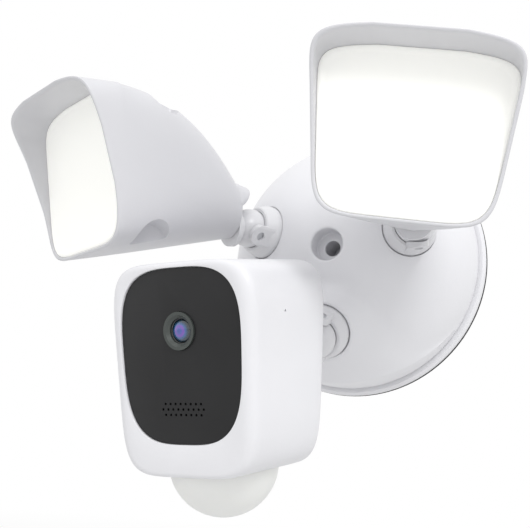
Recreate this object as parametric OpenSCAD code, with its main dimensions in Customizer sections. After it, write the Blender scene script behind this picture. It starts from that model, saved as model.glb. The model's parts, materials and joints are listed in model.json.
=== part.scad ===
// Wall-mounted security camera with two flood lamps on three jointed arms.
// Millimetres, +Z up, the wall is the plane y = 0 and the front faces -Y.
// The origin is the centre of the gasket's back face.

/* [Base] */
// Diameter of the back plate
plate_d = 130; // [126:1:134]
// Thickness of the back plate's rim
plate_t = 4; // [3.5:0.5:5]
// Thickness of the foam gasket behind the back plate
gasket_t = 1.5; // [1:0.5:2]
// Diameter of the cover's edge
cover_d = 124; // [121:1:126]
// Height of the cover's crown above the wall
cover_h = 52; // [51:0.5:53]
// Wall thickness of the cover and the shells
wall = 2.4; // [2:0.2:2.8]
// Distance between the two junction box screws
box_screw_spacing = 88.9; // [82:0.1:89]

/* [Sockets] */
// Sideways distance of a lamp socket from the centre
lamp_socket_x = 36.5; // [35:0.5:38]
// Height of a lamp socket above the centre
lamp_socket_up = 9.4; // [8:0.2:11]
// Distance of a lamp socket from the wall
lamp_socket_out = 40.2; // [39:0.2:41]
// Sideways slant of a lamp socket
lamp_socket_yaw = 30; // [25:1:33]
// Distance of the camera socket below the centre
camera_socket_down = 41; // [39:0.5:42]
// Distance of the camera socket from the wall
camera_socket_out = 49.5; // [48:0.5:50]
// Downward slant of the camera socket
camera_socket_pitch = 30; // [26:1:34]

/* [Pose] */
// Turn of the left lamp towards the left
left_yaw = 34.5; // [30:0.5:37]
// Downward turn of the left lamp
left_pitch = 8; // [5:0.5:10]
// Turn of the right lamp towards the left
right_yaw = -12.5; // [-18:0.5:-10]
// Downward turn of the right lamp
right_pitch = 3.5; // [1:0.5:6]
// Roll of the right lamp about its own neck
right_roll = -4.5; // [-6:0.5:0]
// Turn of the camera towards the left
camera_yaw = 13; // [10:1:16]
// Downward turn of the camera
camera_pitch = 12.5; // [10:0.5:15]

/* [Lamps] */
// Width of a lamp housing at half height, behind the lens
lamp_w = 78; // [76:1:80]
// Height of a lamp housing
lamp_h = 69; // [68:1:72]
// Depth of a lamp from its lens to the pin of its arm
lamp_reach = 87; // [86:1:92]
// Height of the lens centre above the arm's pin
lamp_lift = 17.5; // [16:0.5:19]
// Reach of the hood in front of the lens
hood = 21; // [16:1:24]
// Share by which the housing's top is wider than its middle
lamp_taper = 0.1; // [0.08:0.01:0.12]
// Rise of the housing's top edge at its middle
lamp_arch = 4; // [2:0.5:5]

/* [Camera head] */
// Width of the camera at half height
cam_w = 72; // [70:1:74]
// Height of the camera without its sensor dome
cam_h = 87; // [86:1:90]
// Depth of the camera
cam_d = 62; // [61:0.5:63]
// Width of the black front panel
panel_w = 61; // [59:0.5:61]
// Height of the black front panel
panel_h = 71; // [70:0.5:72]
// Radius of the motion sensor's dome
dome_r = 23; // [21:0.5:23]
// Length of the camera's neck from its pin to the rear shell
camera_neck = 25; // [24:1:28]

/* [Hidden] */
$fn = 48;
side_points = 48;              // points around a lamp or camera section

// base
gap = 0.3;                     // room between parts that move on each other
fit = 0.05;                    // room around a shaft in its bore
plate_r = plate_d / 2;
cover_r = cover_d / 2;
plate_front = gasket_t + plate_t;
cover_bulge = 2;               // power of the cover's curve
cover_edge = plate_front + 0.8;
crossbar_t = 2;
crossbar_w = 20;
crossbar_l = 108;
slot_r = 2.2;                  // half width of the slots for the junction box screws
slot_reach = 4;                // distance of a slot's round ends from its middle
hole_mouth_r = 7.75;
hole_depth = 9.5;
hole_inner_r = 3.75;
screw_seat = 26;               // height of the shoulder that the canopy screw pulls on
column_r = 6.5;

// arms
ring_r = 13.2;                 // radius of the recess that a collar turns in
collar_r = 12.8;
recess = 2;
boss_depth = 6;
boss_wall = 0.9;
camera_boss = 2.7;             // how many times longer the camera's boss is
stem_r = 7;
pin_out = 10;                  // height of the pin above the socket's face
pin_r = 2;
ball_r = 9.3;                  // ball that tilts in the collar's cup
ear_r = 5;
ear_out = 11.8;                // distance of the ears' outer faces from the middle
cup_top = 7;                   // height of the cup's rim above the socket's face
root_r = 6.8;                  // root of the neck on the ball
neck_start = 8.6;
screw_head = [3.3, 1.2];
neck_r = 9.4;
spigot_r = 5;
spigot_l = 10;
snap_r = 6.2;                  // ring at the end of the spigot that holds the head
snap_t = 1.6;
snap_start = spigot_l - snap_t;
ear_inset = 0.35;              // step from the collar's round side to the ears
cup_gap = 0.7;
lamp_neck = 11;

// lamps
lamp_round = 6;                // power of the rounded outline at the front
lamp_square = 0.5;             // share by which the upper corners are squarer than the lower ones
lamp_wall = 1.5;
tail_end = lamp_reach - lamp_neck - gap;
tail_half = [13, 13.5];        // half width and half height of the tail
tail_up = 8;                   // height of the tail's middle above the neck
tail_lip = 11;                 // reach of the tail over the knuckle
lens_t = 3;
seat_round = 4.6;              // power of the outline that the lens rests on
scoop_r = 10;
scoop_l = 18;
scoop_under = [21, 9];         // depth behind the lens and bite of the scoops underneath
scoop_over = [27, 5.5];        // the same for the scoops on top

// camera
cam_round = 5.5;
cam_taper = 0.055;
cam_front = cam_d / 2;
cam_front_round = [5, 2];       // rounding of the front face, sideways and upright
cam_back_round = [12, 4];
cam_lean = 0.14;               // share of the depth that is lost at the bottom
cam_split = -24;               // depth of the joint between front and rear shell
panel_t = 1.4;
panel_sink = 0.7;
lens_up = 15.5;
lens_ring_r = 7.75;
neck_enter = [2, 5.5];         // where the neck meets the rear shell, from its middle
neck_side = 8.5;               // sideways offset of that place from the pin
neck_drop = 2.5;
panel_up = 5.5;
mic_forward = 8;
speaker_down = 16;             // distance of the speaker below the body's middle
hole_step = [2.6, 2.2];        // spacing of the speaker holes along a row and between rows
dome_forward = 5.3;            // place of the dome's axis in front of the body's middle
dome_set = 3.5;                // height of the sphere's centre inside the body
dome_wall = 1.6;
mic_at = [8, 22];              // distances of the microphone from the body's side and top
hole_r = 0.55;
board_t = 1.6;                 // thickness of the circuit boards
button_at = [-16, -20];        // place of the reset button on the rear face
button_r = 3.15;

// colours
white = [0.93, 0.93, 0.94];
dark = [0.2, 0.2, 0.2];
metal = [0.72, 0.73, 0.75];
board_green = [0.1, 0.35, 0.2];

// ---- places, in the wall's frame: x right, y up, z out of the wall ----

// Direction that a head faces after a turn to the left and a downward turn
function facing(yaw, pitch) = [-sin(yaw) * cos(pitch), -sin(pitch), cos(yaw) * cos(pitch)];
// Upward direction of such a head
function upward(yaw, pitch) = [-sin(yaw) * sin(pitch), cos(pitch), cos(yaw) * sin(pitch)];
function rightward(yaw) = [cos(yaw), 0, sin(yaw)];

function is_camera(arm) = arm == "camera";
function socket_at(arm) =
    is_camera(arm) ? [0, -camera_socket_down, camera_socket_out]
    : [arm == "left" ? -lamp_socket_x : lamp_socket_x, lamp_socket_up, lamp_socket_out];
function socket_yaw(arm) = is_camera(arm) ? 0 : arm == "left" ? lamp_socket_yaw : -lamp_socket_yaw;
function socket_pitch(arm) = is_camera(arm) ? camera_socket_pitch : 0;
function head_yaw(arm) = is_camera(arm) ? camera_yaw : arm == "left" ? left_yaw : right_yaw;
function head_roll(arm) = arm == "right" ? right_roll : 0;
function head_pitch(arm) = is_camera(arm) ? camera_pitch : arm == "left" ? left_pitch : right_pitch;
function pin_at(arm) = socket_at(arm) + pin_out * facing(socket_yaw(arm), socket_pitch(arm));

// A direction as seen in the frame of a socket
function in_socket(v, arm) =
    let (yaw = socket_yaw(arm), pitch = socket_pitch(arm),
         turned = [v[0] * cos(yaw) + v[2] * sin(yaw), v[1], v[2] * cos(yaw) - v[0] * sin(yaw)])
    [turned[0], turned[1] * cos(pitch) + turned[2] * sin(pitch),
     turned[2] * cos(pitch) - turned[1] * sin(pitch)];
function unit(v) = v / norm(v);
// Direction of each arm's neck, from its pin to its head
function neck_direction(arm) =
    is_camera(arm) ? unit(camera_neck * facing(camera_yaw, camera_pitch)
                          - neck_side * rightward(camera_yaw)
                          - neck_drop * upward(camera_yaw, camera_pitch))
    : facing(head_yaw(arm), head_pitch(arm));
function bend_way(arm) =
    let (n = in_socket(neck_direction(arm), arm)) atan2(n[1], n[0]);
function bend_angle(arm) =
    let (n = in_socket(neck_direction(arm), arm)) acos(min(1, n[2]));
// Centre of a head: the lens centre of a lamp, or the middle of the camera's body
function head_at(arm) =
    let (yaw = head_yaw(arm), pitch = head_pitch(arm))
    is_camera(arm)
        ? pin_at(arm) + camera_neck * neck_direction(arm)
          - neck_enter[0] * rightward(yaw) - neck_enter[1] * upward(yaw, pitch)
          + cam_d / 2 * facing(yaw, pitch)
        : pin_at(arm) + lamp_reach * facing(yaw, pitch)
          + lamp_lift * (cos(head_roll(arm)) * upward(yaw, pitch) - sin(head_roll(arm)) * rightward(yaw));

module on_wall() rotate([90, 0, 0]) children();
module at_socket(arm)
    on_wall() translate(socket_at(arm)) rotate([socket_pitch(arm), -socket_yaw(arm), 0]) children();
module at_fork(arm)
    at_socket(arm) translate([0, 0, pin_out]) rotate([0, 0, bend_way(arm)]) children();
module at_knuckle(arm) at_fork(arm) rotate([0, bend_angle(arm), 0]) children();
module at_head(arm)
    on_wall() translate(head_at(arm)) rotate([head_pitch(arm), -head_yaw(arm), 0])
        rotate([0, 0, head_roll(arm)]) children();

// ---- outlines and skins ----

function mix(a, b, u) = a + (b - a) * u;
function within(u) = min(1, max(0, u));
function signed_power(v, p) = sign(v) * pow(abs(v), p);
// Rounded outline of half width a and half height b, wider above than below by the share k,
// whose top rises by arch in the middle and has corners squarer by the factor square
function outline(a, b, power, k = 0, arch = 0, square = 1) =
    [for (i = [0 : side_points - 1])
        let (t = (i + 0.5) * 360 / side_points,
             p = t < 180 ? power * square : power,
             across = signed_power(cos(t), 2 / p),
             y = b * signed_power(sin(t), 2 / p))
        [a * across * (1 + k * y / b), y + (y > 0 ? arch * (1 - across * across) * y / b : 0)]];
// The same outline as points in space, at depth z and raised by up
function ring_at(points, z, up = 0) = [for (p = points) [p[0], p[1] + up, z]];

function strip(from, to, n) =
    [for (i = [0 : n - 1])
        let (j = (i + 1) % n)
        each [[from + i, to + i, to + j], [from + i, to + j, from + j]]];

// Solid whose surface runs through the rings and is closed by its first and last ring
module skin(rings) {
    n = len(rings[0]);
    last = len(rings) - 1;
    polyhedron(
        points = [for (r = rings) each r],
        faces = concat(
            [[for (i = [n - 1 : -1 : 0]) i]],
            [for (k = [0 : last - 1]) each strip(n * (k + 1), n * k, n)],
            [[for (i = [0 : n - 1]) last * n + i]]),
        convexity = 6);
}

// Solid whose surface runs through the rings and back to the first one
module skin_loop(rings) {
    n = len(rings[0]);
    m = len(rings);
    polyhedron(
        points = [for (r = rings) each r],
        faces = [for (k = [0 : m - 1]) each strip(n * ((k + 1) % m), n * k, n)],
        convexity = 8);
}

module ring(r_out, r_in, h) {
    difference() {
        cylinder(r = r_out, h = h);
        translate([0, 0, -1]) cylinder(r = r_in, h = h + 2);
    }
}

// ---- base ----

// Half profile of the cover's outside, or of its inside when inset is above 0
function cover_profile(inset) =
    let (r = cover_r - inset, h = cover_h - cover_edge - inset)
    [for (t = [0 : 6 : 90])
        [r * pow(cos(t), 2 / cover_bulge), cover_edge + h * pow(sin(t), 2 / cover_bulge)]];

// The cover's body before it is hollowed: a dome with a flat for each socket
module cover_body(inset) {
    low = inset > 0 ? cover_edge - 2 : cover_edge;
    difference() {
        rotate_extrude()
            polygon(concat([[0, low], [cover_r - inset, low]], cover_profile(inset)));
        for (arm = ["left", "right", "camera"])
            translate(socket_at(arm)) rotate([socket_pitch(arm), -socket_yaw(arm), 0])
                translate([-cover_r, -cover_r, -inset]) cube([cover_d, cover_d, cover_r]);
    }
}

// The camera's boss stands out of the dome, so it is longer
function boss_length(arm) = is_camera(arm) ? camera_boss * boss_depth : boss_depth;
module in_socket_frame(arm)
    translate(socket_at(arm)) rotate([socket_pitch(arm), -socket_yaw(arm), 0]) children();

module base_cover()
    color(white) on_wall() difference() {
        union() {
            difference() {
                cover_body(0);
                cover_body(wall);
            }
            // column of the centre screw
            translate([0, 0, plate_front + gap]) cylinder(r = column_r, h = cover_h - plate_front - 4);
            translate([0, 0, cover_h - hole_depth - wall])
                cylinder(r = hole_mouth_r + wall, h = hole_depth);
            for (arm = ["left", "right", "camera"])
                in_socket_frame(arm) translate([0, 0, -boss_length(arm)]) difference() {
                    cylinder(r = ring_r + boss_wall, h = boss_length(arm));
                    translate([0, 0, -1]) cylinder(r = ring_r - wall, h = 1 + boss_length(arm) - boss_depth);
                }
        }
        translate([0, 0, cover_h - hole_depth]) cylinder(r = hole_mouth_r, h = 2 * hole_depth);
        translate([0, 0, screw_seat]) cylinder(r = hole_inner_r, h = cover_h);
        cylinder(r = pin_r + fit * 4, h = cover_h);
        for (arm = ["left", "right", "camera"])
            in_socket_frame(arm) {
                translate([0, 0, -recess]) cylinder(r = ring_r, h = 3 * recess);
                translate([0, 0, -2 * boss_depth]) cylinder(r = stem_r, h = 3 * boss_depth);
                translate([0, 0, -boss_length(arm) - 1])
                    cylinder(r = ring_r - wall, h = 1 + boss_length(arm) - boss_depth);
            }
    }

module wall_gasket()
    color(dark) on_wall() ring(plate_r, plate_r - 8, gasket_t);

grommet_at = [22, -26];
grommet_r = 9;
module back_plate()
    color(white) on_wall() difference() {
        rotate_extrude() polygon([
            [0, plate_front - 1.6], [plate_r - 9, plate_front - 1.6], [plate_r - 9, gasket_t],
            [plate_r - 0.8, gasket_t], [plate_r, gasket_t + 0.8], [plate_r, plate_front - 1.2],
            [plate_r - 1.2, plate_front], [0, plate_front]]);
        translate([grommet_at[0], grommet_at[1], 0]) cylinder(r = grommet_r, h = plate_front + 1);
        cylinder(r = pin_r + fit * 4, h = plate_front + 1);
    }

module mounting_crossbar()
    color(metal) on_wall() difference() {
        translate([-crossbar_l / 2, -crossbar_w / 2, 0]) cube([crossbar_l, crossbar_w, crossbar_t]);
        for (side = [-1, 1])
            translate([side * box_screw_spacing / 2, 0, -1]) {
                for (end = [-1, 0, 1]) translate([end * slot_reach, 0, 0]) cylinder(r = slot_r, h = 5);
                translate([-slot_reach, -slot_r, 0]) cube([2 * slot_reach, 2 * slot_r, 5]);
            }
        translate([0, 0, -1]) cylinder(r = pin_r + fit, h = 5);
    }

module canopy_screw()
    color(metal) on_wall() difference() {
        union() {
            translate([0, 0, 0.4]) cylinder(r = pin_r, h = screw_seat);
            translate([0, 0, screw_seat]) cylinder(r = hole_inner_r - 0.25, h = 3);
        }
        translate([-2.4, -0.4, screw_seat + 1.8]) cube([4.8, 0.8, 3]);
        translate([-0.4, -2.4, screw_seat + 1.8]) cube([0.8, 4.8, 3]);
    }

board_z = 14;
module driver_board()
    color(board_green) on_wall() difference() {
        translate([-32, 13, board_z]) cube([64, 30, board_t]);
        for (x = [-28, 28], y = [17, 39]) translate([x, y, 0]) cylinder(r = 1.6, h = 30);
    }
module driver_transformer()
    color("gold") on_wall() translate([-14, 17, board_z + board_t]) cube([18, 16, 13]);
module driver_capacitors()
    color(dark) on_wall()
        for (place = [[11, 22], [21, 24]])
            translate([place[0], place[1], board_z + board_t]) cylinder(r = 4, h = 12);
module terminal_block()
    color("ivory") on_wall() difference() {
        translate([-30, -32, plate_front]) cube([26, 11, 11]);
        for (k = [0 : 2]) translate([-25.5 + 8.5 * k, -26.5, plate_front + 4]) cylinder(r = 2, h = 10);
    }
module cable_grommet()
    color(dark) on_wall() translate([grommet_at[0], grommet_at[1], 0]) difference() {
        union() {
            translate([0, 0, plate_front]) cylinder(r = grommet_r + 1.8, h = 1.4);
            translate([0, 0, plate_front - 2.6]) cylinder(r = grommet_r - fit, h = 3);
        }
        translate([0, 0, -1]) cylinder(r = 4, h = 12);
    }
module socket_seals()
    color(dark) on_wall()
        for (arm = ["left", "right", "camera"])
            in_socket_frame(arm) translate([0, 0, -recess]) ring(10.6, 8.6, 0.6);

// ---- arms ----

// Cup that turns in the socket: a rounded shoulder, a ball seat and two ears for the screw
module collar(arm)
    color(white) at_socket(arm) difference() {
        union() {
            rotate_extrude() polygon([
                [0, -1], [collar_r, -1], [collar_r, 1.6], [collar_r - 0.5, 3], [collar_r - 1.2, 5],
                [collar_r - 1.8, cup_top - 0.5], [collar_r - 2.4, cup_top], [0, cup_top]]);
            translate([0, 0, -12]) cylinder(r = stem_r - fit, h = 12);
            rotate([0, 0, bend_way(arm)]) intersection() {
                union() {
                    translate([0, 0, pin_out]) rotate([90, 0, 0])
                        cylinder(r = ear_r, h = 2 * ear_out, center = true);
                    translate([-ear_r, -ear_out, 0]) cube([2 * ear_r, 2 * ear_out, pin_out]);
                }
                cylinder(r = collar_r - ear_inset, h = 2 * pin_out);
            }
        }
        translate([0, 0, pin_out]) sphere(r = ball_r + gap);
        translate([0, 0, pin_out - 0.5]) cylinder(r = ball_r + 1.3 * gap, h = pin_out);
        translate([0, 0, -13]) cylinder(r = 3.8, h = 20);
        rotate([0, 0, bend_way(arm)]) translate([0, 0, pin_out]) rotate([90, 0, 0]) {
            cylinder(r = pin_r + fit, h = 4 * ear_out, center = true);
            translate([0, 0, ear_out - screw_head[1]]) cylinder(r = screw_head[0] + fit, h = 5);
        }
    }

module collar_nut(arm)
    color(metal) at_socket(arm) translate([0, 0, -boss_depth - gap - 3]) difference() {
        cylinder(r = 10.2, h = 3, $fn = 6);
        translate([0, 0, -1]) cylinder(r = stem_r, h = 5);
    }

module tilt_screw(arm)
    color(metal) at_fork(arm) rotate([90, 0, 0]) difference() {
        union() {
            cylinder(r = pin_r, h = 2 * ear_out - 2 * screw_head[1], center = true);
            translate([0, 0, ear_out - screw_head[1]]) cylinder(r = screw_head[0], h = screw_head[1] - 0.2);
        }
        translate([0, 0, ear_out - 0.8]) cylinder(r = 1.5, h = 2, $fn = 6);
    }

// Ball with a neck that ends in a snap ring inside its head
module knuckle(arm) {
    neck = is_camera(arm) ? camera_neck : lamp_neck;
    color(white) at_knuckle(arm) difference() {
        union() {
            sphere(r = ball_r);
            cylinder(r = root_r, h = neck_start + 0.5);
            translate([0, 0, neck_start]) cylinder(r = neck_r, h = neck - neck_start);
            cylinder(r = spigot_r - fit, h = neck + spigot_l);
            translate([0, 0, neck + snap_start]) cylinder(r = snap_r, h = snap_t);
        }
        rotate([90, 0, 0]) cylinder(r = pin_r + fit, h = 20, center = true);
        translate([0, 0, neck_start + 2]) cylinder(r = 3, h = neck + spigot_l);
    }
}

// ---- lamps ----

// Height of a lamp's top and bottom and its half width at a share u of its depth
function lamp_top(u) = mix(lamp_h / 2, tail_up + tail_half[1] - lamp_lift, pow(u, 2.7));
function lamp_bottom(u) = mix(-lamp_h / 2, tail_up - tail_half[1] - lamp_lift, pow(u, 1.1));
function lamp_half_width(u) = mix(lamp_w / 2, tail_half[0], pow(u, 1.9));
// Outline of a lamp at a depth s behind the lens, moved in by inset
function lamp_outline(s, inset, power) =
    let (u = within(s / tail_end),
         half = (lamp_top(u) - lamp_bottom(u)) / 2)
    outline(lamp_half_width(u) - inset, half - inset, power, lamp_taper * (1 - u), lamp_arch * (1 - u),
            1 + lamp_square * (power - 2) / (lamp_round - 2));
function lamp_middle(s) =
    let (u = within(s / tail_end)) (lamp_top(u) + lamp_bottom(u)) / 2;
function lamp_power(s) = mix(lamp_round, 2, pow(within(s / tail_end), 0.5));
function lamp_ring(s, inset) =
    ring_at(lamp_outline(s, inset, lamp_power(s)), -s, lamp_middle(s));
// Ring inside the housing, rounder than the outside so that the corners stay thick
function lamp_hollow(s, inset) =
    ring_at(lamp_outline(s, inset, mix(lamp_round, 2.1, within(s / 14))), -s, lamp_middle(s));
// The wall is thickest where the scoops are cut and where the LED board is screwed on
function hollow_inset(s) = lamp_wall + 3 + 3 * within(s / 26) - 3 * within((s - 38) / 26);
// Ring of the hood: it reaches forward the more the higher a point lies
function hood_ring(inset, share, rim = 0) =
    [for (p = lamp_outline(0, inset, lamp_round))
        [p[0], p[1], share * hood * pow(within((p[1] + lamp_h / 2) / (lamp_h + lamp_arch)), 2) + rim]];
// Ring at the tail, which reaches further back at the top
function tail_ring(inset, reach) =
    [for (p = outline(tail_half[0] - inset, tail_half[1] - inset, 2))
        [p[0], p[1] + tail_up - lamp_lift, -tail_end - reach * pow(within(p[1] / tail_half[1]), 0.6)]];

// Round bite out of a lower or upper edge of a lamp housing
module scoop(side, s, height)
    translate([side * (lamp_half_width(s / tail_end) - 8), height, -s]) rotate([0, 90, 0])
        cylinder(r = scoop_r, h = scoop_l, center = true);

module lamp_housing(arm)
    color(white) at_head(arm) difference() {
        skin(concat(
            [for (s = [64, 52, 38, 26, 14]) lamp_hollow(s, hollow_inset(s))],
            [lamp_ring(6, lamp_wall + 0.2), lamp_ring(0, lamp_wall)],
            [for (share = [0.5, 1]) hood_ring(lamp_wall, share)],
            [hood_ring(lamp_wall / 2, 1, 0.8), hood_ring(0, 1), hood_ring(0, 0.5)],
            [for (s = [0 : 7 : tail_end - 4]) lamp_ring(s, 0)],
            [tail_ring(0, 0), tail_ring(1.2, tail_lip * 0.6), tail_ring(2.4, tail_lip),
             tail_ring(3.4, tail_lip), tail_ring(4.4, 0)]));
        translate([0, -lamp_lift, -tail_end - 1]) cylinder(r = spigot_r, h = 20);
        translate([0, -lamp_lift, -lamp_reach + lamp_neck + snap_start - gap])
            cylinder(r = snap_r + gap, h = 6);
        for (side = [-1, 1]) {
            scoop(side, scoop_under[0], lamp_bottom(scoop_under[0] / tail_end) + scoop_under[1] - scoop_r);
            scoop(side, scoop_over[0], lamp_top(scoop_over[0] / tail_end) - scoop_over[1] + scoop_r);
        }
    }

module lamp_diffuser(arm)
    color([0.98, 0.98, 0.96]) at_head(arm)
        skin([ring_at(lamp_outline(0, lamp_wall + 1.2, lamp_round), 0.6),
              ring_at(lamp_outline(0, lamp_wall + 0.4, lamp_round), -0.2),
              ring_at(lamp_outline(0, lamp_wall + 0.8, seat_round), -lens_t)]);

module lamp_frame(arm, front, depth, inset, width)
    at_head(arm) translate([0, 0, front - depth]) linear_extrude(depth) difference() {
        polygon(lamp_outline(0, inset, seat_round));
        polygon(lamp_outline(0, inset + width, seat_round));
    }
module lamp_diffuser_seal(arm)
    color(dark) lamp_frame(arm, -lens_t, 1, lamp_wall + 0.7, 2);
module lamp_reflector(arm)
    color("white") at_head(arm) translate([0, 0, -lens_t - 6]) linear_extrude(5) difference() {
        polygon(outline(lamp_w / 2 - 6, lamp_h / 2 - 6, 4, lamp_taper));
        polygon(outline(lamp_w / 2 - 8, lamp_h / 2 - 8, 4, lamp_taper));
    }
module lamp_led_board(arm)
    color(board_green) at_head(arm) translate([0, 0, -lens_t - 6 - board_t]) linear_extrude(board_t)
        polygon(outline(26, 22, 4, lamp_taper));
module lamp_led_chips(arm)
    color("gold") at_head(arm)
        for (x = [-20 : 8 : 20], y = [-16 : 8 : 16])
            translate([x - 1.5, y - 1.5, -lens_t - 6]) cube([3, 3, 0.8]);
module lamp_heat_sink(arm)
    color(metal) at_head(arm) translate([0, -1, 0]) {
        translate([-22, -16, -lens_t - 10.6]) cube([44, 32, 3]);
        for (x = [-20 : 5 : 20]) translate([x - 0.8, -13, -lens_t - 22]) cube([1.6, 26, 12]);
    }
module lamp_screws(arm)
    color(metal) at_head(arm)
        for (side = [-1, 1]) translate([side * 16, 0, -lens_t - 6]) cylinder(r = 2, h = 1.5);

// ---- camera ----

// Depth that a point of the camera loses to the rounded edge at distance d from a face
function edge_inset(d, r) = d >= r ? 0 : r - sqrt(r * r - (r - d) * (r - d));
// Depth z of a point at height y: the body is less deep at its bottom
function lean(z, y) = cam_front - (cam_front - z) * (1 - cam_lean * (0.5 - y / cam_h));
// Ring of the camera's body at depth z, moved in by inset; the body rounds towards both faces
function cam_ring(z, inset) =
    let (d = max(cam_front - inset - abs(z), 0),
         round = z > 0 ? cam_front_round : cam_back_round,
         a = cam_w / 2 - inset - edge_inset(d, max(round[0] - inset, 0.5)),
         b = cam_h / 2 - inset - edge_inset(d, max(round[1] - inset, 0.5)))
    [for (p = outline(a, b, cam_round, cam_taper)) [p[0], p[1], lean(z, p[1])]];
function panel_outline(inset) = outline(panel_w / 2 - inset, panel_h / 2 - inset, 3.3, 0.05);
function panel_ring(inset, z) = ring_at(panel_outline(inset), z, panel_up);

module in_camera() at_head("camera") children();
module dome_place() translate([0, -cam_h / 2, dome_forward]) rotate([90, 0, 0]) children();

module dome_opening() dome_place() translate([0, 0, -10]) cylinder(r = dome_r + fit, h = 20);

module camera_front_shell()
    color(white) in_camera() difference() {
        skin_loop(concat(
            [for (z = [cam_split, -8, 6, 18, 22, cam_front - wall]) cam_ring(z, wall)],
            [panel_ring(2.5, cam_front - wall - 0.6),
             panel_ring(2.5, cam_front - panel_sink - panel_t),
             panel_ring(-0.2, cam_front - panel_sink - panel_t), panel_ring(-0.2, cam_front)],
            [for (d = [0, 0.5, 1.2, 2.2, 3.6, 5.5, 8, 14, 22, 34]) cam_ring(cam_front - d, 0)],
            [cam_ring(cam_split, 0)]));
        dome_opening();
        translate([cam_w / 2 - mic_at[0], cam_h / 2 - mic_at[1], mic_forward])
            rotate([0, 90, 0]) cylinder(r = hole_r, h = 20);
    }

// Place of the reset button on the slanted rear face, looking into the body
module at_button()
    translate([button_at[0], button_at[1], lean(-cam_front, button_at[1])])
        rotate([-atan(cam_lean * cam_d / cam_h), 0, 0]) children();
module camera_rear_shell() {
    color(white) difference() {
        union() {
            in_camera() skin(concat(
                [for (d = [wall, 3, 4.5]) cam_ring(-cam_front + d, wall)],
                [cam_ring(cam_split - 0.3, wall), cam_ring(cam_split - 0.3, 0)],
                [for (d = [4.5, 3, 1.6, 0.6, 0]) cam_ring(-cam_front + d, 0)]));
            at_knuckle("camera") translate([0, 0, camera_neck + gap])
                cylinder(r = neck_r, h = spigot_l - 2.2);
        }
        at_knuckle("camera") {
            cylinder(r = spigot_r, h = camera_neck + 3 * spigot_l);
            translate([0, 0, camera_neck + snap_start - gap]) cylinder(r = snap_r + gap, h = spigot_l);
            translate([0, 0, camera_neck - 12 + gap]) cylinder(r = neck_r + cup_gap, h = 12);
        }
        in_camera() at_button() translate([0, 0, -2]) cylinder(r = button_r + fit, h = 8);
        in_camera() dome_opening();
    }
}

module reset_button()
    color(dark) in_camera() at_button() {
        translate([0, 0, 0.4]) cylinder(r = button_r, h = 4);
        translate([0, 0, wall + 0.9]) cylinder(r = 4.2, h = 1.2);
    }

module camera_shell_seal()
    color(dark) in_camera() difference() {
        skin_loop([
            cam_ring(cam_split - 0.3, wall - 0.3), cam_ring(cam_split, wall - 0.3),
            cam_ring(cam_split, 0.4), cam_ring(cam_split - 0.3, 0.4)]);
        dome_opening();
    }

module camera_front_panel()
    color(dark) in_camera() translate([0, 0, cam_front - panel_sink - panel_t])
        linear_extrude(panel_t) difference() {
            translate([0, panel_up]) polygon(panel_outline(0));
            translate([0, lens_up]) circle(r = lens_ring_r + 0.1);
            for (row = [-1 : 1], k = [0 : row == 0 ? 8 : 7])
                translate([(k - (row == 0 ? 4 : 3.5)) * hole_step[0], row * hole_step[1] - speaker_down])
                    circle(r = hole_r);
        }
module camera_lens_ring()
    color([0.33, 0.35, 0.34]) in_camera() translate([0, lens_up, cam_front - 4]) difference() {
        cylinder(r = lens_ring_r, h = 4.2);
        translate([0, 0, -1]) cylinder(r = 5.2, h = 8);
        translate([0, 0, 3]) cylinder(r1 = 5.2, r2 = 6.6, h = 1.3);
    }
module camera_lens_glass()
    color([0.3, 0.25, 0.6]) in_camera() translate([0, lens_up, cam_front - 3.4]) {
        cylinder(r = 5.1, h = 1.4);
        intersection() {
            translate([0, 0, -5]) sphere(r = 8);
            translate([0, 0, 1.3]) cylinder(r = 5.1, h = 3);
        }
    }
module camera_lens_barrel()
    color(dark) in_camera() translate([0, lens_up, cam_front - 18]) ring(6.8, 4.8, 13.8);
module camera_sensor_board()
    color(board_green) in_camera()
        translate([-14, lens_up - 14, cam_front - 18 - board_t]) cube([28, 28, board_t]);
module camera_ir_leds()
    color("indigo") in_camera()
        for (x = [-18, 18], y = [lens_up - 6, lens_up + 6])
            translate([x, y, cam_front - 6.4]) cylinder(r = 2.5, h = 4);
module camera_speaker()
    color(dark) in_camera() translate([0, -speaker_down, cam_front - 9]) {
        cylinder(r = 9, h = 5);
        translate([0, 0, -4]) cylinder(r = 6, h = 4);
    }
module camera_microphone()
    color(metal) in_camera()
        translate([cam_w / 2 - mic_at[0] + 2, cam_h / 2 - mic_at[1], mic_forward]) rotate([0, 90, 0])
        cylinder(r = 2, h = 2);
module camera_main_board()
    color(board_green) in_camera() translate([-28, -18, cam_front - 26]) cube([56, 52, board_t]);
module camera_antenna()
    color("gold") in_camera() translate([-20, 36, cam_front - 30]) cube([26, 0.8, 6]);
module motion_dome()
    color([0.9, 0.9, 0.88]) in_camera() dome_place() {
        difference() {
            translate([0, 0, -dome_set]) sphere(r = dome_r);
            translate([0, 0, -dome_set]) sphere(r = dome_r - dome_wall);
            translate([0, 0, -2 * dome_r - wall]) cylinder(r = 2 * dome_r, h = 2 * dome_r);
        }
    }
module motion_sensor()
    color(metal) in_camera() dome_place() translate([0, 0, -1.5]) cylinder(r = 4.6, h = 4.5);
module motion_sensor_holder()
    color("ivory") in_camera() dome_place() translate([0, 0, -4]) cylinder(r = 9, h = 2.5);
module camera_shell_screws()
    color(metal) in_camera()
        for (x = [-21, 21], y = [-30, 30])
            translate([x, y, lean(-cam_front, y) + 3.6]) cylinder(r = 2, h = 8);

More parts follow.
